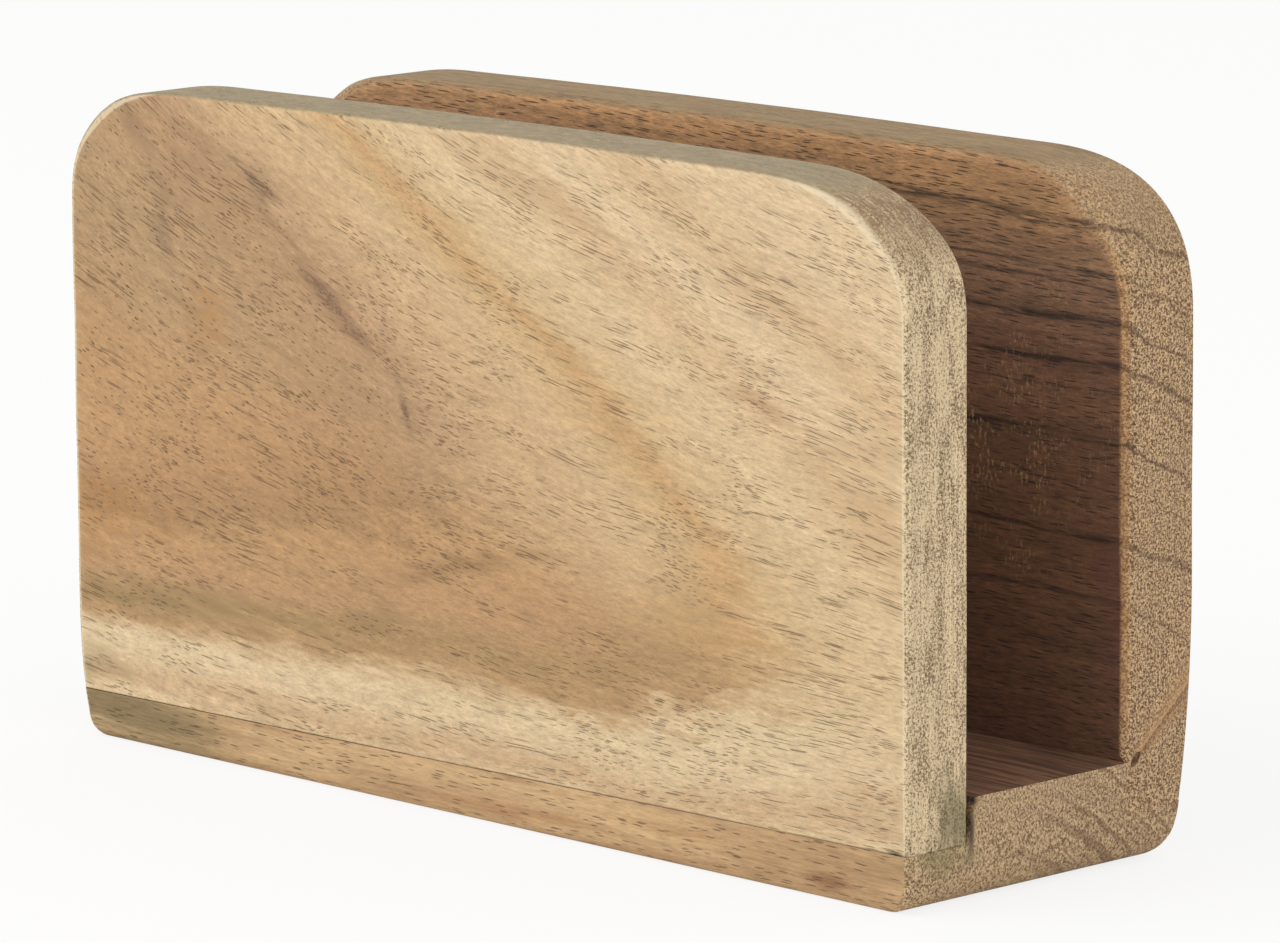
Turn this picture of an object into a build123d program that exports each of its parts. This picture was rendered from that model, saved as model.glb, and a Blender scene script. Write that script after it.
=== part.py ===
from build123d import *

import os

# A napkin holder of three solid wood boards. A thick base has a rabbet along both long edges, and
# the front board and the back board stand in these rabbets, glued. The glued block was sanded as
# one, so the ends lie flush, the top corners are round and the sides draw in towards the bottom.
# Millimetres, Z up, X along the napkin slot, the front board on the -Y side, and the origin at the
# middle of the resting face.

# Overall sizes of the sanded block
length = 175.0
depth = 58.0
front_height = 100.4  # resting face to the highest point of the front board
back_height = 98.9
top_crown = 0.4  # how much a board's top rises between its corners

# Boards, base and joint
front_thickness = 12.0
back_thickness = 14.0
floor_height = 15.0  # resting face to the floor of the slot
front_ledge_left = 7.1  # base left under the front board: its rabbet isn't quite level
front_ledge_right = 8.5
back_ledge = 7.8
shoulder_gap = 1.2  # open joint behind the front board at floor level, closed at the ledge

# Top corners: reach along the top and reach down the end, and how full the curve is
front_left_corner = (25.0, 18.0)
front_right_corner = (31.0, 19.0)
back_left_corner = (27.0, 21.0)
back_right_corner = (27.0, 22.0)
corner_fullness = 0.7

# Sanding: how far each side draws in by the resting face, and the height where that starts
left_draw = 2.0
left_draw_height = 18.0
right_draw = 0.6
right_draw_height = 16.0
front_draw = 0.7
front_draw_height = 22.0
back_draw = 3.7
back_draw_height = 38.0

# The heel of each broad side: a last, tighter curve under this height, and how far it draws in more
front_heel = 0.8
front_heel_height = 2.5
back_heel = 2.8
back_heel_height = 7.0

# Edges
left_foot_radius = 3.5
right_foot_radius = 4.8
outer_ease = 1.0
front_inner_ease = 0.5
back_inner_ease = 2.0

# A small knot hole in the back board's right end, beside the slot
knot_width = 1.3
knot_length = 2.7
knot_depth = 1.3
knot_tilt = 42.0  # degrees from upright
knot_from_slot = 1.8
knot_over_floor = 0.2

# Helpers
margin = 5.0  # how far a cutting block reaches past what it cuts
clear_of_end = 1.0  # an edge's middle this far from the outline's top or foot is on the face between
parallel = 0.99  # cosine above which two directions count as the same
touching = 1e-4  # distance under which a point counts as lying on a face
front_face = -depth / 2
back_face = depth / 2
slot_front = front_face + front_thickness
slot_back = back_face - back_thickness


def side_outline(height, left_corner, right_corner):
    """The block seen from the front: crowned top, soft corners, ends drawn in at the bottom."""
    left = -length / 2
    right = length / 2
    shoulder = height - top_crown
    crown = ThreePointArc(
        (left + left_corner[0], shoulder),
        ((left + left_corner[0] + right - right_corner[0]) / 2, height),
        (right - right_corner[0], shoulder),
    )
    left_curve = corner_curve(crown @ 0, crown % 0, left, left_corner)
    right_curve = corner_curve(crown @ 1, crown % 1 * -1, right, right_corner)
    left_foot = (left + left_draw, 0)
    right_foot = (right - right_draw, 0)
    left_side = TangentArc((left, left_draw_height), left_foot, tangent=(0, -1))
    right_side = TangentArc((right, right_draw_height), right_foot, tangent=(0, -1))
    edges = [
        crown,
        left_curve,
        Line(left_curve @ 0, left_side @ 0),
        left_side,
        Line(left_foot, right_foot),
        right_side,
        Line(right_curve @ 0, right_side @ 0),
        right_curve,
    ]
    face = make_face(edges)
    foot = face.vertices().group_by(Axis.Y)[0].sort_by(Axis.X)
    face = fillet(foot[0], left_foot_radius)
    foot = face.vertices().group_by(Axis.Y)[0].sort_by(Axis.X)
    return fillet(foot[-1], right_foot_radius)


def corner_curve(top_end, inward, side, corner):
    """A curve from the upright line x = side to the top, which it meets along the top's own slope."""
    along, down = corner
    side_end = Vector(side, top_end.Y - down)
    side_pull = side_end + Vector(0, corner_fullness * down)
    top_pull = top_end - inward * (corner_fullness * along)
    return Bezier(side_end, side_pull, top_pull, top_end)


def end_outline(height):
    """The block seen from its end: upright faces that draw in towards the bottom."""
    front_side = drawn_side(
        front_face, 1, front_draw, front_draw_height, front_heel, front_heel_height
    )
    back_side = drawn_side(
        back_face, -1, back_draw, back_draw_height, back_heel, back_heel_height
    )
    top = height + margin
    return make_face(
        front_side
        + back_side
        + [
            Line(front_side[1] @ 1, back_side[1] @ 1),
            Line(back_side[0] @ 0, (back_face, top)),
            Line((back_face, top), (front_face, top)),
            Line((front_face, top), front_side[0] @ 0),
        ]
    )


def drawn_side(face, inward, draw, draw_height, heel, heel_height):
    """A broad side's lower part: a long arc off the upright face, then the heel's arc to the foot."""
    radius = (draw_height**2 + draw**2) / (2 * draw)
    fall = draw_height - heel_height
    sunk = radius - (radius**2 - fall**2) ** 0.5
    long_arc = TangentArc(
        (face, draw_height), (face + inward * sunk, heel_height), tangent=(0, -1)
    )
    heel_arc = TangentArc(
        long_arc @ 1, (face + inward * (draw + heel), 0), tangent=long_arc % 1
    )
    return [long_arc, heel_arc]


def sanded_block(height, left_corner, right_corner):
    """The whole block at one board's height, with the edges round its two broad faces eased."""
    side = Plane.XZ * side_outline(height, left_corner, right_corner)
    end = Plane.YZ * end_outline(height)
    block = extrude(side, amount=depth, both=True) & extrude(end, amount=length, both=True)
    return fillet(rim_edges(block, height), outer_ease)


def rim_edges(block, height):
    """The edges round the two broad faces, without the seams that run across or along them."""
    rim = []
    for edge in block.edges():
        across = abs((edge % 0.5).Y) > parallel
        middle = edge @ 0.5
        inside = clear_of_end < middle.Z < height - clear_of_end
        seam = inside and abs(middle.X) < length / 4
        if not across and not seam:
            rim.append(edge)
    return rim


def front_rabbet():
    """The space that the front board fills: all that is above the ledge and in front of the slot."""
    left = -length / 2 - margin
    right = length / 2 + margin
    rise = (front_ledge_right - front_ledge_left) / length
    top = front_height + margin
    profile = Polygon(
        (left, front_ledge_left - rise * margin),
        (right, front_ledge_right + rise * margin),
        (right, top),
        (left, top),
        align=None,
    )
    across = front_thickness + margin
    return extrude(Plane.XZ.offset(-slot_front) * profile, amount=across)


def back_rabbet():
    """The space that the back board fills."""
    size = (length + 2 * margin, back_thickness + margin, back_height + margin - back_ledge)
    return Pos(0, slot_back, back_ledge) * Box(*size, align=(Align.CENTER, Align.MIN, Align.MIN))


def joint_gap():
    """The wedge of air behind the front board: nothing at the ledge, widest at the slot's floor."""
    ledge = max(front_ledge_left, front_ledge_right)
    profile = Polygon(
        (slot_front, ledge),
        (slot_front + shoulder_gap, floor_height),
        (slot_front, floor_height),
        align=None,
    )
    return extrude(Plane.YZ * profile, amount=length, both=True)


def knot_hole():
    """A shallow slit with round ends, sunk in the back board's right end beside the slot."""
    y = slot_back + knot_from_slot
    z = floor_height + knot_over_floor
    slit = SlotOverall(knot_length, knot_width)
    plane = Plane.YZ.offset(length / 2) * Pos(y, z) * Rot(0, 0, 90 - knot_tilt)
    return extrude(plane * slit, amount=knot_depth, both=True)


def inner_edges(board, face_y, lowest):
    """The edges of a board's slot face that end above a height: its two ends and its top."""
    found = []
    for edge in board.edges():
        starts_on = abs((edge @ 0).Y - face_y) < touching
        ends_on = abs((edge @ 1).Y - face_y) < touching
        if starts_on and ends_on and (edge @ 0.5).Z > lowest + clear_of_end:
            found.append(edge)
    return found


def front_board():
    block = sanded_block(front_height, front_left_corner, front_right_corner)
    board = block & front_rabbet()
    lowest = max(front_ledge_left, front_ledge_right)
    return fillet(inner_edges(board, slot_front, lowest), front_inner_ease)


def back_board():
    """The back board: its slot face is eased above the floor, and square where it is glued."""
    block = sanded_block(back_height, back_left_corner, back_right_corner)
    board = block & back_rabbet()
    reach = 2 * length
    below = Pos(0, 0, floor_height) * Box(
        reach, reach, reach, align=(Align.CENTER, Align.CENTER, Align.MAX)
    )
    upper = board - below
    lower = board & below
    upper = fillet(inner_edges(upper, slot_back, floor_height), back_inner_ease)
    return upper + lower - knot_hole()


def base():
    block = sanded_block(front_height, front_left_corner, front_right_corner)
    reach = 2 * length
    above = Pos(0, 0, floor_height) * Box(
        reach, reach, reach, align=(Align.CENTER, Align.CENTER, Align.MIN)
    )
    return block - above - front_rabbet() - back_rabbet() - joint_gap()


os.makedirs("parts", exist_ok=True)
export_step(front_board(), "parts/front_board.step")
export_step(back_board(), "parts/back_board.step")
export_step(base(), "parts/base.step")
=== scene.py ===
from math import cos, pi, radians, sin, sqrt

import bmesh
import bpy
from mathutils import Matrix, Vector, geometry, noise


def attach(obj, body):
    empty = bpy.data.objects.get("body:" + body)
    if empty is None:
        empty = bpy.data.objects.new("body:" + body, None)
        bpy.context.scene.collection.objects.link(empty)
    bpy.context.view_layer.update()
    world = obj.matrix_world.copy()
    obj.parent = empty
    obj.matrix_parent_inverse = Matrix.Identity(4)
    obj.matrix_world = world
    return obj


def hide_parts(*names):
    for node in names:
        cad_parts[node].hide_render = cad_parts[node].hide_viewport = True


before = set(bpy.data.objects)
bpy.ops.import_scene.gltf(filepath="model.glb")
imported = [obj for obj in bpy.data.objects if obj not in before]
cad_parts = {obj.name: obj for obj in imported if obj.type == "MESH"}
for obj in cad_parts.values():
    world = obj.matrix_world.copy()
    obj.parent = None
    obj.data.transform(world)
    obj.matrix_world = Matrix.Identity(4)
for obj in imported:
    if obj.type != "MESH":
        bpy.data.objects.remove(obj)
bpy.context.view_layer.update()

# Camera: a long lens, turned to the holder's right end and a little above it, so that the front
# board, the end grain and the inside of the slot all show.
AZIMUTH = radians(46.044)
ELEVATION = radians(10.064)
ROLL = radians(-0.365)
DISTANCE = 1.122  # metres
AIM_RIGHT = 0.0039  # how far right of the origin the camera looks, in metres
AIM_UP = 0.04665  # and how far above it
FOCAL_LENGTH_PIXELS = 7656.0
PHOTO_WIDTH_PIXELS = 1280
SENSOR_WIDTH = 36.0

to_camera = Vector(
    (
        sin(AZIMUTH) * cos(ELEVATION),
        -cos(AZIMUTH) * cos(ELEVATION),
        sin(ELEVATION),
    )
)
to_right = Vector((cos(AZIMUTH), sin(AZIMUTH), 0))
to_top = to_camera.cross(to_right)
camera_data = bpy.data.cameras.new("camera")
camera_data.sensor_width = SENSOR_WIDTH
camera_data.lens = FOCAL_LENGTH_PIXELS / PHOTO_WIDTH_PIXELS * SENSOR_WIDTH
camera = bpy.data.objects.new("camera", camera_data)
turned = Matrix((to_right, to_top, to_camera)).transposed() @ Matrix.Rotation(ROLL, 3, "Z")
stand = to_camera * DISTANCE + to_right * AIM_RIGHT + to_top * AIM_UP
camera.matrix_world = Matrix.Translation(stand) @ turned.to_4x4()
bpy.context.scene.collection.objects.link(camera)
bpy.context.scene.camera = camera
bpy.context.scene.view_settings.view_transform = "Standard"


# Floor and white surroundings: a pale matt sheet that still takes the holder's shadow. Seen by the
# camera it is lifted towards white, which adds no light to the wood.
FLOOR_REACH = 3.0  # metres from the holder to each side of the sheet
FLOOR_COLOUR = "f4f3f0"
FLOOR_LIFT = 0.82  # share of plain white that the camera sees in the sheet
DOME_STRENGTH = 0.8


def linear(colour):
    """An sRGB hex value as linear red, green, blue and full alpha."""
    shares = [int(colour[i : i + 2], 16) / 255 for i in (0, 2, 4)]
    return [s / 12.92 if s <= 0.04045 else ((s + 0.055) / 1.055) ** 2.4 for s in shares] + [1.0]


def add(tree, kind, *inputs, **settings):
    """Adds one node with its settings. Its inputs are set or linked in the node's own order, or
    by name or number where they come as a dict. Colours are hex values."""
    made = tree.nodes.new("ShaderNode" + kind)
    for name, value in settings.items():
        setattr(made, name, value)
    by_name = inputs and isinstance(inputs[0], dict)
    for key, value in inputs[0].items() if by_name else enumerate(inputs):
        if isinstance(value, bpy.types.Node):
            value = value.outputs[0]
        if isinstance(value, bpy.types.NodeSocket):
            tree.links.new(value, made.inputs[key])
        else:
            made.inputs[key].default_value = linear(value) if isinstance(value, str) else value
    return made


def seen_directly(tree):
    """1 where a camera, mirror or glass ray arrives, and 0 for the light on matt surfaces."""
    ray = add(tree, "LightPath").outputs
    straight = add(tree, "Math", ray["Is Camera Ray"], ray["Is Glossy Ray"], operation="ADD")
    through = ray["Is Transmission Ray"]
    return add(tree, "Math", straight, through, operation="ADD", use_clamp=True)


# Matt paper: it scatters all light, so it shows neither gloss nor a reflection.
floor_material = bpy.data.materials.new("pale_paper_sheet")
floor_material.use_nodes = True
tree = floor_material.node_tree
tree.nodes.clear()
paper = add(tree, "BsdfDiffuse", {"Color": FLOOR_COLOUR})
lift = add(tree, "Emission", {"Color": (1, 1, 1, 1), "Strength": 1.0})
share = add(tree, "Math", seen_directly(tree), FLOOR_LIFT, operation="MULTIPLY")
mixed = add(tree, "MixShader", share, paper, lift)
add(tree, "OutputMaterial", {"Surface": mixed})

corners = [(-1, -1), (1, -1), (1, 1), (-1, 1)]
floor_mesh = bpy.data.meshes.new("floor")
places = [(x * FLOOR_REACH, y * FLOOR_REACH, 0) for x, y in corners]
floor_mesh.from_pydata(places, [], [(0, 1, 2, 3)])
floor_mesh.materials.append(floor_material)
floor = bpy.data.objects.new("floor", floor_mesh)
bpy.context.scene.collection.objects.link(floor)

world = bpy.data.worlds.new("white_surroundings")
bpy.context.scene.world = world
world.use_nodes = True
tree = world.node_tree
tree.nodes.clear()
dome = add(tree, "Background", {"Color": (1, 1, 1, 1), "Strength": DOME_STRENGTH})
white = add(tree, "Background", {"Color": (1, 1, 1, 1), "Strength": 1.0})
mixed = add(tree, "MixShader", seen_directly(tree), dome, white)
add(tree, "OutputWorld", {"Surface": mixed})


# Lamps: a broad soft box from the front left, which rakes the front board a little, and a weaker
# one towards the right end. Places and sizes are in metres, power in watts.
LIT_POINT = Vector((0, 0, 0.05))

for name, place, size, power in (
    ("soft_box_left", (-0.9, -1.5, 1.3), 1.4, 14.0),
    ("soft_box_right", (1.6, -0.5, 0.9), 1.0, 4.0),
):
    lamp_data = bpy.data.lights.new(name, "AREA")
    lamp_data.shape = "SQUARE"
    lamp_data.size = size
    lamp_data.energy = power
    lamp = bpy.data.objects.new(name, lamp_data)
    aim = (LIT_POINT - Vector(place)).to_track_quat("-Z", "Y")
    lamp.matrix_world = Matrix.Translation(place) @ aim.to_matrix().to_4x4()
    bpy.context.scene.collection.objects.link(lamp)


# Front board: plain-sawn acacia, 12 mm thick, sanded and left unfinished. Its face cuts a cone of
# growth rings, so brown heartwood runs in from the left as a flame inside pale sapwood. It stands
# glued in the base's front rabbet.
MM = 0.001
FRONT_FACE = -29.0  # the board's outer face, in millimetres from the holder's middle
SLOT_FRONT = -17.0
FRONT_HEIGHT = 100.4
FRONT_LEDGE = (7.1, 8.5)  # height of the board's lower edge at the left and the right end
FRONT_CORNERS = ((25.0, 18.0), (31.0, 19.0))  # reach along the top and down the end
FRONT_DRAW = (0.7, 22.0)  # how far the outer face draws in by the table, from which height
END = 87.5  # from the middle to each end
DRAWS = ((2.0, 18.0), (0.6, 16.0))  # how far each end draws in, from which height
CROWN = 0.4  # how much the top rises between its corners
CROWN_SLOPE = 0.0134  # the top's slope where it meets a corner
FULLNESS = 0.7  # how far a corner bulges, from 0, a straight cut, to 1, nearly square
OUTER_EASE = 1.0  # width of the eased edge round an outer face
FRONT_OUTER_CORNER = 1.4  # how much wider it is in a corner
FRONT_SLOT_EASE = 0.6
FRONT_SLOT_CORNER = 2.0
EASE_SIZE = 14  # the length over which an eased edge grows wider and narrower again
WAVE = 0.12  # how deep hand sanding hollows a face
WAVE_SIZE = 30  # how far apart the hollows lie
FACE_PATTERN = 30  # these three tell apart the hollows of faces, of edges and of walls
EDGE_PATTERN = 50
WALL_PATTERN = 90

# How finely the mesh follows the board
SIDE_STEPS = 60
CORNER_STEPS = 32
TOP_STEPS = 100
FOOT_STEPS = 58
ROUND_STEPS = 6  # over an eased edge
WALL_STEPS = 6  # from one eased edge to the other
NET_ACROSS = range(-86, 88, 3)  # x and z of the points inside a broad face
NET_UP = range(10, 100, 3)
NET_CLEARANCE = 1.6  # from the net to the rim
SHARP_FROM = radians(40)  # two faces that meet more steeply keep a crisp edge


def drawn_in(z, draw, start):
    """How far a long arc has drawn a side in at height z."""
    radius = (start**2 + draw**2) / (2 * draw)
    return radius - sqrt(radius**2 - max(start - z, 0.0) ** 2)


def corner_arc(side, sign, shoulder, reach, drop):
    """Points from the upright end to the crowned top, and how deep in the corner each is."""
    points = []
    for step in range(CORNER_STEPS + 1):
        t = step / CORNER_STEPS
        weights = ((1 - t) ** 3, 3 * t * (1 - t) ** 2, 3 * (1 - t) * t**2, t**3)
        x = (0, 0, reach * (1 - FULLNESS), reach)
        z = (-drop, drop * (FULLNESS - 1), -CROWN_SLOPE * reach * FULLNESS, 0)
        across = sum(w * v for w, v in zip(weights, x))
        up = sum(w * v for w, v in zip(weights, z))
        points.append((side - sign * across, shoulder + up, sin(pi * t) ** 3))
    return points


def board_outline(height, ledge, corners):
    """The board seen from the front, from its lower left corner over the top to its lower right
    one, as (x, z, how deep in a corner) every 1.5 mm or so."""
    shoulder = height - CROWN
    (left_reach, left_drop), (right_reach, right_drop) = corners
    points = []
    for step in range(SIDE_STEPS + 1):
        z = ledge[0] + (shoulder - left_drop - ledge[0]) * step / SIDE_STEPS
        points.append((-END + drawn_in(z, *DRAWS[0]), z, 0.0))
    points += corner_arc(-END, -1, shoulder, left_reach, left_drop)[1:]
    for step in range(1, TOP_STEPS):
        t = step / TOP_STEPS
        x = -END + left_reach + (2 * END - left_reach - right_reach) * t
        points.append((x, shoulder + CROWN * 4 * t * (1 - t), 0.0))
    points += corner_arc(END, 1, shoulder, right_reach, right_drop)[::-1]
    for step in range(1, SIDE_STEPS + 1):
        z = shoulder - right_drop + (ledge[1] - shoulder + right_drop) * step / SIDE_STEPS
        points.append((END - drawn_in(z, *DRAWS[1]), z, 0.0))
    return points


def hollow(x, y, z, size):
    """Between 0 and 1: where hand sanding took a little more off. Another y is another pattern."""
    return 0.5 + 0.5 * noise.noise(Vector((x / size, y / size, z / size)))


def eased_edge(outline, inward, side, face, ease, wider):
    """Rows of points round the eased edge of the near face, side 0, or the far one, side 1, from
    the face to the board's wall."""
    into = 1 if side == 0 else -1
    rows = []
    for step in range(ROUND_STEPS + 1):
        angle = radians(90 - 90 / ROUND_STEPS * step)
        row = []
        for (x, z, depth), normal in zip(outline, inward):
            # Hand sanding leaves the edge up to a fifth narrower or wider.
            uneven = 0.8 + 0.4 * hollow(x, EDGE_PATTERN * side, z, EASE_SIZE)
            width = (ease(z) + wider * depth) * uneven
            inset = width * (1 - cos(angle)) + WAVE * hollow(x, WALL_PATTERN, z, WAVE_SIZE)
            place = Vector((x, z)) + normal * inset
            worn = WAVE * hollow(x, FACE_PATTERN * side, z, WAVE_SIZE) * sin(angle)
            sunk = width * (1 - sin(angle)) + worn
            row.append(Vector((place.x, face(place.y) + into * sunk, place.y)))
        rows.append(row)
    return rows


def fill_face(made, rim, side, face):
    """Fills a broad face inside its rim with a net of points, which hand sanding has hollowed."""
    into = 1 if side == 0 else -1
    first = rim[0].co
    last = rim[-1].co
    foot = [last.lerp(first, step / FOOT_STEPS) for step in range(1, FOOT_STEPS)]
    edge_points = [Vector((v.co.x, v.co.z)) for v in rim]
    edge_points += [Vector((place.x, place.z)) for place in foot]
    count = len(edge_points)
    net = [Vector((x, z)) for x in NET_ACROSS for z in NET_UP]
    net = [p for p in net if min((p - e).length for e in edge_points) > NET_CLEARANCE]
    loop = [(i, (i + 1) % count) for i in range(count)]
    # Output type 1 keeps the triangles inside the loop. Origins tell which point each came from.
    filled = geometry.delaunay_2d_cdt(edge_points + net, loop, [], 1, 1e-6)
    places, faces, origins = filled[0], filled[2], filled[3]
    verts = []
    for place, origin in zip(places, origins):
        if origin and origin[0] < len(rim):
            verts.append(rim[origin[0]])
            continue
        sunk = WAVE * hollow(place.x, FACE_PATTERN * side, place.y, WAVE_SIZE)
        verts.append(made.verts.new((place.x, face(place.y) + into * sunk, place.y)))
    for triangle in faces:
        made.faces.new([verts[i] for i in triangle])


def sanded_board(name, outline, near, far):
    """A board as a closed mesh. Near and far each give a face's y as a function of z, the width of
    its eased edge on straight runs and how much wider that is in the corners."""
    inward = []
    for i in range(len(outline)):
        before = outline[max(i - 1, 0)]
        after = outline[min(i + 1, len(outline) - 1)]
        run = Vector((after[0] - before[0], after[1] - before[1])).normalized()
        inward.append(Vector((run.y, -run.x)))
    near_rows = eased_edge(outline, inward, 0, *near)
    far_rows = eased_edge(outline, inward, 1, *far)[::-1]
    wall = []
    for step in range(1, WALL_STEPS):
        wall.append([a.lerp(b, step / WALL_STEPS) for a, b in zip(near_rows[-1], far_rows[0])])

    made = bmesh.new()
    grid = [[made.verts.new(place) for place in row] for row in near_rows + wall + far_rows]
    for low, high in zip(grid, grid[1:]):
        for i in range(len(low) - 1):
            made.faces.new((low[i], low[i + 1], high[i + 1], high[i]))
    fill_face(made, grid[0], 0, near[0])
    fill_face(made, grid[-1], 1, far[0])
    # Only the board's foot is still open.
    open_edges = [edge for edge in made.edges if edge.is_boundary]
    bmesh.ops.holes_fill(made, edges=open_edges, sides=0)
    unused = [vert for vert in made.verts if not vert.link_faces]
    bmesh.ops.delete(made, geom=unused, context="VERTS")
    bmesh.ops.scale(made, vec=(MM, MM, MM), verts=made.verts)
    bmesh.ops.recalc_face_normals(made, faces=made.faces)
    mesh = bpy.data.meshes.new(name)
    made.to_mesh(mesh)
    made.free()
    mesh.polygons.foreach_set("use_smooth", [True] * len(mesh.polygons))
    mesh.set_sharp_from_angle(angle=SHARP_FROM)
    board = bpy.data.objects.new(name, mesh)
    bpy.context.scene.collection.objects.link(board)
    return board


def front_face_at(z):
    """The outer face draws in by a long arc, and a tighter heel under that is all base."""
    return FRONT_FACE + drawn_in(z, *FRONT_DRAW)


front_board = sanded_board(
    "front_board_sanded",
    board_outline(FRONT_HEIGHT, FRONT_LEDGE, FRONT_CORNERS),
    (front_face_at, lambda z: OUTER_EASE, FRONT_OUTER_CORNER),
    (lambda z: SLOT_FRONT, lambda z: FRONT_SLOT_EASE, FRONT_SLOT_CORNER),
)

# Directions on the holder: to its right end, from the front board to the back board, and up
ALONG = (1.0, 0.0, 0.0)
THROUGH = (0.0, 1.0, 0.0)
UP = (0.0, 0.0, 1.0)


def plane_distance(tree, place, slopes, offset=0.0):
    """Slopes times the place in millimetres, plus an offset: the height over a tilted plane."""
    dot = add(tree, "VectorMath", place, slopes, operation="DOT_PRODUCT")
    return add(tree, "Math", dot.outputs["Value"], offset, operation="ADD")


def where(tree, pattern, low, high, within=None):
    """A share that rises softly from 0 where the pattern is low to 1 where it is high, also where
    low is the greater number. Where another share is given, it counts only within that."""
    share = add(tree, "MapRange", pattern, low, high, interpolation_type="SMOOTHSTEP")
    if within is None:
        return share
    return add(tree, "Math", within, share, operation="MULTIPLY")


def tint(tree, under, over, share, strength=1.0):
    """The under colour, with the over colour laid on it by its share, which strength weakens."""
    if strength < 1.0:
        share = add(tree, "Math", share, strength, operation="MULTIPLY")
    # A Mix node has inputs for several kinds of data: 6 and 7 are its colours, and so is output 2.
    return add(tree, "Mix", {0: share, 6: under, 7: over}, data_type="RGBA").outputs[2]


def shade(tree, colour, pattern, strength):
    """Lightens and darkens a colour by a pattern whose mean is 0.5."""
    value = add(tree, "Math", pattern, strength, 1 - strength / 2, operation="MULTIPLY_ADD")
    return add(tree, "HueSaturation", {"Color": colour, "Value": value}).outputs[0]


def colour_scale(tree, value, stops):
    """A colour for each height, read from (height, hex colour) stops in rising order."""
    low = stops[0][0]
    high = stops[-1][0]
    share = add(tree, "MapRange", value, low, high)
    ramp = add(tree, "ValToRGB", share)
    elements = ramp.color_ramp.elements
    while len(elements) < len(stops):
        elements.new(1.0)
    # All positions come first, because the elements are kept sorted by them.
    for element, (height, colour) in zip(elements, stops):
        element.position = (height - low) / (high - low)
    for element, (height, colour) in zip(elements, stops):
        element.color = linear(colour)
    return ramp.outputs["Color"]


def bare_wood(name):
    """A new material with an empty tree, the place in millimetres and which way it faces."""
    wood = bpy.data.materials.new(name)
    wood.use_nodes = True
    wood.node_tree.nodes.clear()
    coordinates = add(wood.node_tree, "TexCoord").outputs
    inputs = {0: coordinates["Object"], "Scale": 1 / MM}
    place = add(wood.node_tree, "VectorMath", inputs, operation="SCALE")
    return wood, place.outputs["Vector"], coordinates["Normal"]


MIDDLE_HEIGHT = 50.0
DRIFT_SIZE = 45.0  # how far apart the grain's bends lie


def grain_lines(tree, place, fall, turn, bend, dive, wander):
    """The place along, through and across the grain, in millimetres. Seen from the front the
    grain falls to the right by the slope fall, changed by turn for each millimetre over the middle
    height and by bend for each millimetre to the right. Dive is its slope into the board, and
    wander how far it drifts from its way."""
    drift = add(tree, "TexNoise", {"Vector": place, "Scale": 1 / DRIFT_SIZE, "Detail": 2.0})
    moved = add(tree, "VectorMath", drift.outputs["Color"], (0.5, 0.5, 0.5), operation="SUBTRACT")
    reach = (0.0, wander, wander)
    drifted = add(tree, "VectorMath", moved, reach, place, operation="MULTIPLY_ADD")
    x, y, z = add(tree, "SeparateXYZ", drifted).outputs
    level = add(tree, "Math", z, MIDDLE_HEIGHT, operation="SUBTRACT")
    slope = add(tree, "Math", level, turn, fall, operation="MULTIPLY_ADD")
    slope = add(tree, "Math", x, bend, slope, operation="MULTIPLY_ADD")
    across = add(tree, "Math", x, slope, z, operation="MULTIPLY_ADD")
    through = add(tree, "Math", x, dive, y, operation="MULTIPLY_ADD")
    return add(tree, "CombineXYZ", x, through, across).outputs[0]


def cloud(tree, place, size, detail=3.0, roughness=0.6):
    """A cloud, 0.5 on average, whose lumps measure about size in millimetres along each axis."""
    squeezed = add(tree, "VectorMath", place, [1 / s for s in size], operation="MULTIPLY")
    inputs = {"Vector": squeezed, "Scale": 1.0, "Detail": detail, "Roughness": roughness}
    return add(tree, "TexNoise", inputs).outputs[0]


def fibres(tree, grain, length, width, detail=3.0, roughness=0.6):
    """A cloud drawn out along the grain: the wood's fibre bundles."""
    return cloud(tree, grain, (length, width, width), detail, roughness)


def pores(tree, grain, length, width, crowding, share):
    """Open vessels: a short furrow of about this length and width, in millimetres, in each cell
    of the grain, and a cell is 1 / crowding furrows wide. Only a share of the cells has one."""
    per_millimetre = (crowding / length, crowding / width, crowding / width)
    squeezed = add(tree, "VectorMath", grain, per_millimetre, operation="MULTIPLY")
    cell = add(tree, "TexVoronoi", {"Vector": squeezed, "Scale": 1.0})
    chance = add(tree, "SeparateColor", cell.outputs["Color"])
    kept = add(tree, "Math", chance.outputs[0], share, operation="LESS_THAN")
    return where(tree, cell.outputs["Distance"], crowding * 0.6, crowding * 0.3, within=kept)


def stain(tree, place, rim, centre, reach, lean=0.0):
    """1 at the heart of a soft-edged stain and 0 outside its reach. A cloud frays its rim, and it
    falls to the right by the slope lean."""
    moved = add(tree, "VectorMath", place, centre, operation="SUBTRACT")
    up = plane_distance(tree, moved, (lean / reach[2], 0.0, 1 / reach[2]))
    flat = add(tree, "VectorMath", moved, (1 / reach[0], 1 / reach[1], 0.0), operation="MULTIPLY")
    raised = add(tree, "CombineXYZ", {"Z": up})
    far = add(tree, "VectorMath", flat, raised, operation="ADD")
    far = add(tree, "VectorMath", far, operation="LENGTH").outputs["Value"]
    # The cloud adds 0.9 on average, so that the stain ends about where far is 1.
    frayed = add(tree, "Math", rim, 1.8, far, operation="MULTIPLY_ADD")
    return where(tree, frayed, 1.9, 1.0)


def facing(tree, normal, direction, low, high, within=None):
    """How much the surface faces a direction or its opposite, from 0 to 1."""
    dot = add(tree, "VectorMath", normal, direction, operation="DOT_PRODUCT")
    squarely = add(tree, "Math", dot.outputs["Value"], operation="ABSOLUTE")
    return where(tree, squarely, low, high, within)


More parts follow.
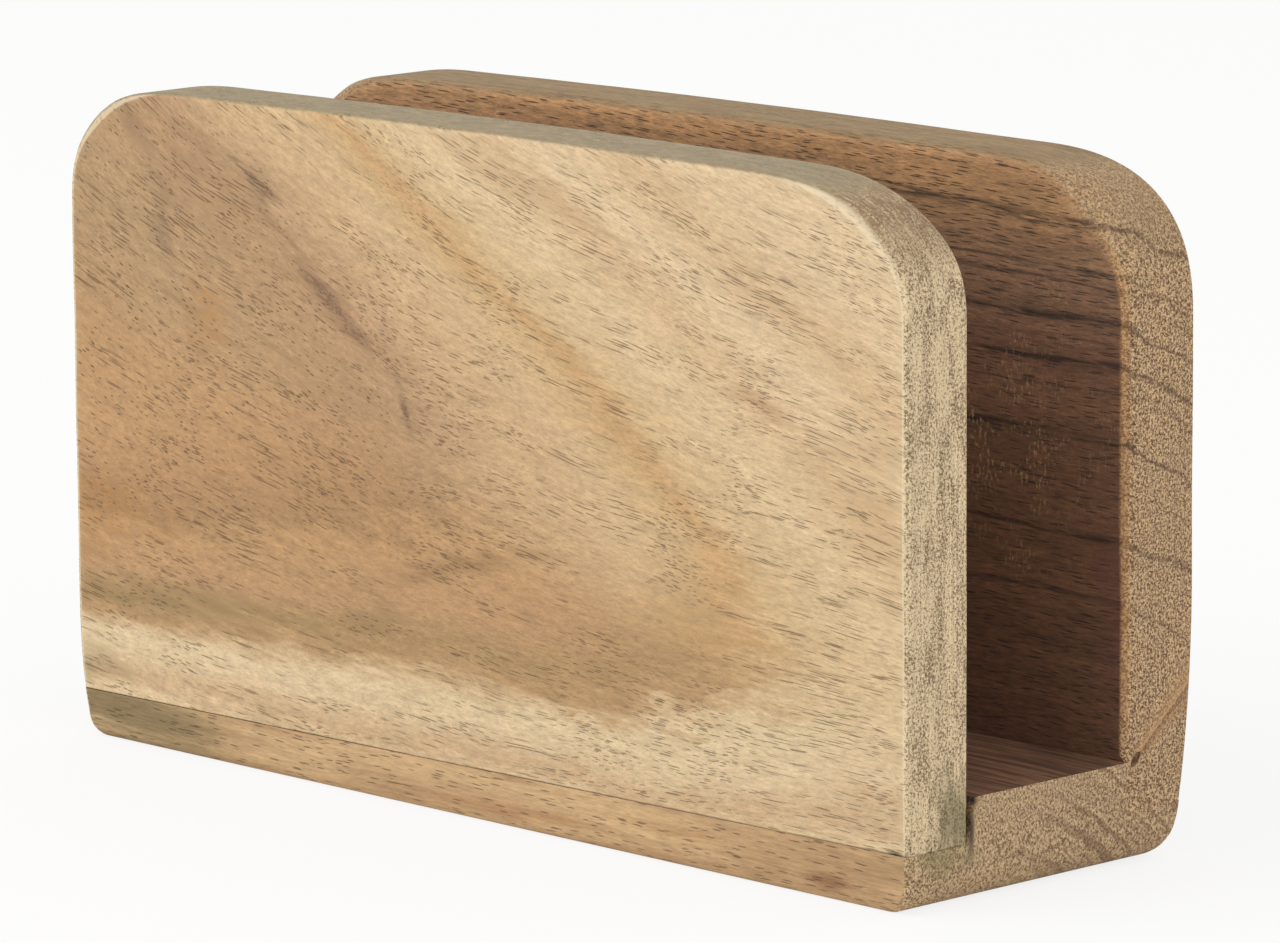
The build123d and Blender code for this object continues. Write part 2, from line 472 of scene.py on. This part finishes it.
def cut_vessels(tree, place):
    """The maze of vessels that an end cuts through. Real ones are 0.15 to 0.2 mm wide. They are
    drawn about twice as coarse here, because finer ones wouldn't show."""
    return cloud(tree, place, (0.5, 0.36, 0.42), roughness=0.9)


def finish_wood(tree, colour, roughness, height, depth):
    """Closes a wood material. Bare sanded wood is matt, its IOR is about 1.5, and its relief is
    depth millimetres deep."""
    bump = add(tree, "Bump", {"Strength": 1.0, "Distance": depth * MM, "Height": height})
    inputs = {"Base Color": colour, "Roughness": roughness, "IOR": 1.5, "Normal": bump}
    add(tree, "OutputMaterial", {"Surface": add(tree, "BsdfPrincipled", inputs)})


# Plain-sawn acacia, sanded and left bare: matt and warm, cream where it is sapwood and brown in
# the heart, with short dark furrows where the saw opened its vessels.
front_wood, place, normal = bare_wood("acacia_plain_sawn_sanded")
tree = front_wood.node_tree
grain = grain_lines(tree, place, fall=0.17, turn=0.0033, bend=-0.0003, dive=0.06, wander=5.0)

# The cone of growth rings: its axis rises to the left, and its rings are cut nearer their middle
# on this face than on the slot side. The long and short streaks of the grain fray each ring.
over_axis = plane_distance(tree, place, (0.277, 0.0, 1.0), -51.8)
under_face = plane_distance(tree, place, THROUGH, 58.0)
across_axis = add(tree, "CombineXYZ", over_axis, under_face)
from_axis = add(tree, "VectorMath", across_axis, operation="LENGTH").outputs["Value"]
taper = plane_distance(tree, place, (0.241, 0.0, 0.0), -13.7)
ring = add(tree, "Math", from_axis, taper, operation="ADD")
long_streaks = fibres(tree, grain, 60.0, 6.0)
short_streaks = fibres(tree, grain, 12.0, 1.3, detail=4.0)
fine = fibres(tree, grain, 2.2, 0.6, roughness=0.9)
ring = add(tree, "Math", long_streaks, 6.0, ring, operation="MULTIPLY_ADD")
ring = add(tree, "Math", short_streaks, 4.0, ring, operation="MULTIPLY_ADD")
ring = add(tree, "Math", ring, 5.0, operation="SUBTRACT")
upper = colour_scale(
    tree,
    ring,
    [
        (-10, "ad8a62"),
        (0, "b09069"),
        (8, "b38f68"),
        (11, "b08c67"),
        (14, "ba9771"),
        (18, "c8a67c"),
        (23, "ccad83"),
        (26.5, "c8a779"),
        (28.5, "c49d6d"),
        (31, "ccae82"),
        (37, "d6bb92"),
        (44, "d0b188"),
        (50, "d8be97"),
        (57, "d0b188"),
        (64, "d7bc95"),
        (80, "d8be97"),
    ],
)

# Under the axis the heart ends in a sharp edge over cream sapwood, looser towards the right.
rightward = where(tree, plane_distance(tree, place, ALONG), -10.0, 30.0)
loose = add(tree, "Math", fibres(tree, grain, 12.0, 5.0), 8.0, -6.0, operation="MULTIPLY_ADD")
lower = colour_scale(
    tree,
    add(tree, "Math", rightward, loose, ring, operation="MULTIPLY_ADD"),
    [
        (-10, "b58e62"),
        (4, "ba9266"),
        (10, "b38b60"),
        (14, "a78259"),
        (16.5, "b99265"),
        (22, "b79066"),
        (25, "aa895d"),
        (27.6, "b49065"),
        (29, "cbae85"),
        (30.6, "d8c19a"),
        (34, "d7be97"),
        (37, "c8a982"),
        (39.5, "d7bd95"),
        (60, "d8bf97"),
    ],
)
colour = tint(tree, lower, upper, where(tree, over_axis, -14.0, 4.0))

# Brown and grey stains in the heart, and mould-green ones by the lower left corner: centre, reach,
# slope, colour and strength of each.
for centre, reach, lean, hue, strength in (
    ((-56.0, -29.0, 68.0), (8.0, 9.0, 9.0), 0.2, "a87538", 0.55),
    ((-84.0, -29.0, 35.0), (26.0, 9.0, 9.0), -0.05, "ac7a40", 0.6),
    ((-58.0, -29.0, 86.0), (15.0, 9.0, 13.0), 0.6, "9f7a5c", 0.4),
    ((-44.0, -29.0, 87.0), (5.0, 6.0, 4.0), 0.5, "5e4b35", 0.7),
    ((-29.0, -29.0, 72.5), (12.0, 6.0, 3.2), 0.75, "604530", 0.75),
    ((-13.0, -29.0, 58.5), (2.4, 6.0, 3.0), 1.9, "5c422f", 0.8),
    ((-66.0, -29.0, 80.0), (3.5, 6.0, 8.0), 0.5, "7b5f4a", 0.6),
    ((-72.0, -29.0, 94.0), (5.0, 6.0, 3.0), 0.7, "7b5f4a", 0.5),
    ((-28.0, -29.0, 60.0), (20.0, 8.0, 7.0), 0.2, "a5855f", 0.4),
    ((-4.0, -29.0, 36.5), (26.0, 9.0, 2.6), -0.25, "7f603c", 0.65),
    ((46.0, -29.0, 37.0), (14.0, 9.0, 9.0), 0.0, "b08a5c", 0.5),
    ((-60.0, -29.0, 23.5), (46.0, 9.0, 4.0), 0.0, "8b764e", 0.7),
    ((-22.0, -29.0, 26.5), (14.0, 9.0, 3.0), -0.1, "87704c", 0.6),
    ((-82.0, -29.0, 11.5), (8.0, 6.0, 4.5), 0.0, "6f6230", 0.6),
    ((60.0, -29.0, 67.5), (8.0, 9.0, 2.4), 0.3, "a97f5c", 0.7),
    ((12.0, -29.0, 93.0), (30.0, 9.0, 3.0), 0.25, "bf9c74", 0.6),
    ((66.0, -29.0, 81.0), (24.0, 9.0, 2.0), 0.18, "c09d75", 0.6),
    ((80.0, -29.0, 58.0), (14.0, 9.0, 20.0), 0.2, "c39f70", 0.6),
):
    mark = stain(tree, place, short_streaks, centre, reach, lean)
    colour = tint(tree, colour, hue, where(tree, fine, 0.36, 0.6, within=mark), strength)

# Fibres, and open vessels: long pale-brown furrows in the sapwood, short dark ones in the heart.
colour = shade(tree, colour, short_streaks, 0.45)
colour = shade(tree, colour, fine, 1.1)
short_furrows = pores(tree, grain, 3.6, 0.15, 0.5, 0.9)
long_furrows = pores(tree, grain, 8.0, 0.15, 0.45, 0.8)
furrows = add(tree, "Math", short_furrows, long_furrows, operation="MAXIMUM")
furrows = where(tree, fibres(tree, grain, 22.0, 4.0), 0.42, 0.58, within=furrows)
heart_share = where(tree, ring, 22.0, 8.0)
heart_share = add(tree, "Math", heart_share, 0.8, 0.2, operation="MULTIPLY_ADD")
patches = where(tree, fibres(tree, grain, 9.0, 4.0), 0.4, 0.58, within=heart_share)
dots = pores(tree, grain, 0.9, 0.16, 0.42, 0.9)
dots = add(tree, "Math", dots, patches, operation="MULTIPLY")
open_vessels = add(tree, "Math", furrows, dots, operation="MAXIMUM")
colour = tint(tree, colour, "6f4f33", furrows, 0.55)
colour = tint(tree, colour, "5a3c25", dots, 0.65)

# Its top edge is greyed by handling. Its ends show end grain, with upright sanding marks, a green
# stain by the joint and browner corners.
top_share = facing(tree, normal, UP, 0.45, 0.9)
top_colour = shade(tree, tint(tree, "7a6a4d", "b3a17e", short_streaks), fine, 1.0)
end_share = facing(tree, normal, ALONG, 0.1, 0.35)
thin = cloud(tree, place, (6.0, 2.0, 7.0))
crowded = add(tree, "Math", thin, 0.3, 0.32, operation="MULTIPLY_ADD")
spots = add(tree, "Math", cut_vessels(tree, place), crowded, operation="SUBTRACT")
end_colour = tint(tree, "e3cba3", "765e41", where(tree, spots, -0.02, 0.14))
sanding = cloud(tree, place, (2.0, 0.3, 30.0))
end_colour = shade(tree, end_colour, sanding, 0.7)
green = stain(tree, place, thin, (87.5, -19.0, 12.0), (12.0, 6.5, 11.0))
end_colour = tint(tree, end_colour, "625e38", green, 0.65)
in_corner = where(tree, plane_distance(tree, place, UP), 86.0, 96.0)
in_corner = where(tree, sanding, 0.25, 0.65, within=in_corner)
end_colour = tint(tree, end_colour, "8d7050", in_corner)
colour = tint(tree, colour, top_colour, top_share)
colour = tint(tree, colour, end_colour, end_share)

# The eased edge between the face and the end gets a pale painted highlight.
painted_edge_highlight = facing(tree, normal, ALONG, 0.04, 0.12)
painted_edge_highlight = facing(tree, normal, ALONG, 0.45, 0.2, within=painted_edge_highlight)
painted_edge_highlight = facing(tree, normal, THROUGH, 0.5, 0.8, within=painted_edge_highlight)
colour = tint(tree, colour, "ead9b6", painted_edge_highlight, 0.6)

# The glue line: a dark hair line, torn open by the right end, where painted shade darkens the
# opening.
over_line = plane_distance(tree, place, (-0.008, 0.0, 1.0), -7.8)
hair = where(tree, short_streaks, 0.35, 0.5, within=where(tree, over_line, 0.32, 0.08))
colour = tint(tree, colour, "4a3a26", hair, 0.6)
# Painted shade in the opening of the joint by the right end.
painted_opening_shade = stain(tree, place, short_streaks, (85.0, -29.0, 8.6), (2.6, 2.0, 0.7))
colour = tint(tree, colour, "2c2015", painted_opening_shade)
relief = add(tree, "Math", open_vessels, -1.2, fine, operation="MULTIPLY_ADD")
finish_wood(tree, colour, roughness=0.75, height=relief, depth=0.12)
front_board.data.materials.append(front_wood)
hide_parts("front_board")
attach(front_board, "root")


# Back board: darker heartwood, 14 mm thick. Its slot face is sawn rather than sanded, with thin
# dark growth lines along it, and its sawn end shows where they run on. Glued in the back rabbet.
SLOT_BACK = 15.0
BACK_FACE = 29.0
BACK_HEIGHT = 98.9
BACK_LEDGE = (7.8, 7.8)
BACK_CORNERS = ((27.0, 21.0), (27.0, 22.0))
BACK_DRAW = (3.7, 38.0)
BACK_OUTER_CORNER = 0.6
BACK_SLOT_EASE = 1.9
BACK_SLOT_CORNER = 3.6
UNEASED = 0.04
FLOOR_HEIGHT = 15.0
KNOT = (END, 16.8, 15.2)
KNOT_TILT = radians(42)  # from upright
KNOT_REACH = (1.2, 0.6, 1.3)  # half its depth, width and length


def back_face_at(z):
    """The outer face draws in by a long arc down to the table."""
    return BACK_FACE - drawn_in(z, *BACK_DRAW)


def slot_edge(z):
    """The slot-side edge is eased above the floor and square where it is glued."""
    return BACK_SLOT_EASE if z > FLOOR_HEIGHT + 0.1 else UNEASED


back_board = sanded_board(
    "back_board_sanded",
    board_outline(BACK_HEIGHT, BACK_LEDGE, BACK_CORNERS),
    (lambda z: SLOT_BACK, slot_edge, BACK_SLOT_CORNER),
    (back_face_at, lambda z: OUTER_EASE, BACK_OUTER_CORNER),
)

# A knot has left a small slanting hole in the right end, where the board meets the floor.
knot_place = Matrix.Translation([v * MM for v in KNOT]) @ Matrix.Rotation(-KNOT_TILT, 4, "X")
knot_place = knot_place @ Matrix.Diagonal([v * MM for v in KNOT_REACH] + [1.0])
pit = bmesh.new()
bmesh.ops.create_icosphere(pit, subdivisions=3, radius=1.0, matrix=knot_place)
pit_mesh = bpy.data.meshes.new("knot_pit")
pit.to_mesh(pit_mesh)
pit.free()
pit_object = bpy.data.objects.new("knot_pit", pit_mesh)
bpy.context.scene.collection.objects.link(pit_object)
cut = back_board.modifiers.new("knot_pit", "BOOLEAN")
cut.operation = "DIFFERENCE"
cut.solver = "EXACT"
cut.object = pit_object
bpy.context.view_layer.update()
evaluated = back_board.evaluated_get(bpy.context.evaluated_depsgraph_get())
cut_mesh = bpy.data.meshes.new_from_object(evaluated)
back_board.modifiers.clear()
back_board.data = cut_mesh
cut_mesh.set_sharp_from_angle(angle=SHARP_FROM)
bpy.data.objects.remove(pit_object)

# Acacia heartwood, sawn and hardly sanded: matt and dark brown, paler at the top, with broken
# black growth lines, open vessels and saw marks.
back_wood, place, normal = bare_wood("acacia_heartwood_sawn")
tree = back_wood.node_tree
grain = grain_lines(tree, place, fall=0.03, turn=0.0004, bend=0.0, dive=0.03, wander=3.0)
ring = plane_distance(tree, place, (0.02, 0.5, 1.0), -11.2)
wavy = fibres(tree, grain, 60.0, 8.0)
ring = add(tree, "Math", wavy, 5.0, ring, operation="MULTIPLY_ADD")
colour = colour_scale(
    tree,
    ring,
    [
        (0, "6b4b37"),
        (44, "694832"),
        (60, "6c4b35"),
        (72, "74513c"),
        (83, "86654c"),
        (90, "96724f"),
        (95, "b0865c"),
        (110, "b0875c"),
    ],
)
colour = shade(tree, colour, fibres(tree, grain, 40.0, 2.0), 1.1)
fine = fibres(tree, grain, 3.0, 0.5, roughness=0.9)
colour = shade(tree, colour, fine, 2.2)

# Growth lines: height, thickness and strength of each.
lines = None
for height, thickness, strength in (
    (91.0, 0.8, 0.9),
    (84.0, 0.6, 0.7),
    (81.5, 0.4, 0.6),
    (77.0, 0.7, 0.85),
    (74.0, 0.4, 0.5),
    (71.0, 0.8, 0.9),
    (67.5, 0.4, 0.6),
    (60.0, 0.75, 1.0),
    (54.0, 0.4, 0.4),
    (47.0, 0.8, 0.85),
    (38.0, 0.6, 0.6),
):
    off = add(tree, "Math", ring, height, operation="SUBTRACT")
    off = add(tree, "Math", off, operation="ABSOLUTE")
    line = add(tree, "Math", where(tree, off, thickness, 0.0), strength, operation="MULTIPLY")
    lines = line if lines is None else add(tree, "Math", lines, line, operation="MAXIMUM")
lines = where(tree, fibres(tree, grain, 12.0, 0.9), 0.35, 0.55, within=lines)
colour = tint(tree, colour, "22150e", lines)
open_vessels = pores(tree, grain, 3.0, 0.17, 0.55, 0.9)
colour = tint(tree, colour, "24150c", open_vessels, 0.75)

# Fibres that the saw raised, gathered in patches, and a purplish tinge by the right end.
raised = stain(tree, place, wavy, (66.0, 15.0, 60.0), (26.0, 4.0, 26.0))
raised = where(tree, fibres(tree, grain, 9.0, 6.0), 0.42, 0.6, within=raised)
raised = where(tree, cloud(tree, place, (0.5, 1.0, 1.1)), 0.52, 0.64, within=raised)
colour = tint(tree, colour, "b3926a", raised, 0.75)
purple = stain(tree, place, wavy, (86.0, 15.0, 38.0), (6.0, 3.0, 26.0))
colour = tint(tree, colour, "6b3f3f", purple, 0.4)

# Its top edge is greyed, and its ends show end grain, which is tan along the slot's edge and
# smoother in the corners.
top_share = facing(tree, normal, UP, 0.45, 0.9)
narrow = fibres(tree, grain, 20.0, 1.2)
top_colour = shade(tree, tint(tree, "745d3e", "ad9168", narrow), fine, 1.0)
end_share = facing(tree, normal, ALONG, 0.1, 0.35)
maze = cut_vessels(tree, place)
end_colour = tint(tree, "dab88b", "65462d", where(tree, maze, 0.43, 0.57))
over_table = plane_distance(tree, place, UP)
slot_rim = where(tree, plane_distance(tree, place, THROUGH), 16.1, 15.4)
slot_rim = where(tree, over_table, 15.5, 24.0, within=slot_rim)
end_colour = tint(tree, end_colour, "b8844f", slot_rim, 0.45)
end_colour = tint(tree, end_colour, "a58863", where(tree, over_table, 82.0, 92.0), 0.45)
end_colour = tint(tree, end_colour, "553a2a", lines, 0.8)
sanding = cloud(tree, place, (2.0, 0.3, 30.0))
end_colour = shade(tree, end_colour, sanding, 0.7)

# A band of denser brown wood rises from the knot by the slot to the back, and widens.
along_knot = plane_distance(tree, place, (0.0, 0.77, 0.64), -22.2)
off_knot = plane_distance(tree, place, (0.0, -0.64, 0.77), -1.1)
inputs = {"W": off_knot, "Scale": 0.9, "Detail": 2.0}
streaks = add(tree, "TexNoise", inputs, noise_dimensions="1D").outputs[0]
flare = add(tree, "Math", along_knot, 0.22, 1.2, operation="MULTIPLY_ADD")
near_knot = add(tree, "Math", off_knot, operation="ABSOLUTE")
near_knot = add(tree, "Math", near_knot, flare, operation="DIVIDE")
near_knot = add(tree, "Math", sanding, 0.9, near_knot, operation="MULTIPLY_ADD")
band = add(tree, "Math", where(tree, near_knot, 1.5, 0.5), 0.6, operation="MULTIPLY")
band = where(tree, along_knot, -1.6, -0.6, within=band)
band_colour = tint(tree, "8a6040", "c79b6b", where(tree, streaks, 0.35, 0.65))
end_colour = tint(tree, end_colour, band_colour, band)
hole = stain(tree, place, maze, (END - 1.0, *KNOT[1:]), (3.0, 1.0, 1.5))
end_colour = tint(tree, end_colour, "3d281a", hole, 0.6)
colour = tint(tree, colour, top_colour, top_share)
colour = tint(tree, colour, end_colour, end_share)
relief = add(tree, "Math", open_vessels, -1.0, fine, operation="MULTIPLY_ADD")
finish_wood(tree, colour, roughness=0.8, height=relief, depth=0.15)
back_board.data.materials.append(back_wood)
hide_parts("back_board")
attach(back_board, "root")


# Base: a plank of mixed brown wood under both boards, with a rabbet along each long edge. Its
# middle is the slot's floor, of dark heartwood, and its lighter front edge shows as a strip. It
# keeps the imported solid.
base = bpy.data.objects["base"]

# Acacia from the edge of the heart, planed and sanded with the boards: matt, streaked tan on its
# edges and dark brown on the floor, with growth rings as arcs across its ends.
base_wood, place, normal = bare_wood("acacia_plank")
tree = base_wood.node_tree
grain = grain_lines(tree, place, fall=0.02, turn=0.0, bend=0.0, dive=0.03, wander=3.0)
long_streaks = fibres(tree, grain, 50.0, 3.0)
colour = tint(tree, "ae8b64", "ceac80", where(tree, long_streaks, 0.3, 0.7))

# A mould-green stain at the lower left, and brown ones along the front edge.
for centre, reach, hue, strength in (
    ((-78.0, -29.0, 4.0), (38.0, 20.0, 9.0), "82714d", 0.85),
    ((72.0, -29.0, 2.6), (6.0, 9.0, 1.8), "7f4f30", 0.6),
    ((40.0, -29.0, 5.0), (26.0, 9.0, 2.0), "b98d60", 0.4),
    ((10.0, -29.0, 3.0), (20.0, 9.0, 2.0), "a9764a", 0.4),
):
    colour = tint(tree, colour, hue, stain(tree, place, long_streaks, centre, reach), strength)

# The slot's floor.
floor_share = where(tree, plane_distance(tree, place, UP), 14.0, 14.8)
floor_streaks = where(tree, fibres(tree, grain, 40.0, 0.9), 0.4, 0.6)
colour = tint(tree, colour, tint(tree, "523625", "886044", floor_streaks), floor_share)
fine = fibres(tree, grain, 4.0, 0.4, roughness=0.85)
colour = shade(tree, colour, fine, 1.1)
open_vessels = pores(tree, grain, 2.4, 0.17, 0.5, 0.7)
colour = tint(tree, colour, "4a321f", open_vessels, 0.55)

# Its ends show end grain and the arcs of growth rings round a heart under the table.
end_share = facing(tree, normal, ALONG, 0.1, 0.35)
maze = cut_vessels(tree, place)
end_colour = tint(tree, "dabb90", "6a4c32", where(tree, maze, 0.42, 0.6))
arcs = add(tree, "VectorMath", place, (0.0, -25.0, -45.0), operation="SUBTRACT")
arcs = add(tree, "VectorMath", arcs, (0.0, 1.0, 1.0), operation="MULTIPLY")
arcs = add(tree, "VectorMath", arcs, operation="LENGTH").outputs["Value"]
arcs = add(tree, "Math", long_streaks, 2.0, arcs, operation="MULTIPLY_ADD")
inputs = {"W": arcs, "Scale": 0.7, "Detail": 3.0}
arcs = add(tree, "TexNoise", inputs, noise_dimensions="1D").outputs[0]
ringed = where(tree, plane_distance(tree, place, (0.0, 1.0, -0.5)), -18.0, 8.0)
ringed = add(tree, "Math", ringed, 0.55, operation="MULTIPLY")
end_colour = tint(tree, end_colour, "6b4a34", where(tree, arcs, 0.48, 0.62, within=ringed))
colour = tint(tree, colour, end_colour, end_share)
green = stain(tree, place, long_streaks, (87.5, -22.0, 7.0), (12.0, 8.0, 4.5))
colour = tint(tree, colour, "77734a", green, 0.5)

# Painted shade darkens the open joint behind the front board, and more painted shade darkens its
# chipped mouth.
painted_joint_shade = stain(tree, place, maze, (84.0, -16.4, 10.5), (12.0, 1.0, 5.5))
colour = tint(tree, colour, "2e2118", painted_joint_shade)
painted_mouth_shade = stain(tree, place, maze, (87.5, -16.3, 14.6), (4.0, 1.6, 1.6))
colour = tint(tree, colour, "251a12", painted_mouth_shade)
relief = add(tree, "Math", open_vessels, -1.0, fine, operation="MULTIPLY_ADD")
finish_wood(tree, colour, roughness=0.8, height=relief, depth=0.12)
base.data.materials.clear()
base.data.materials.append(base_wood)
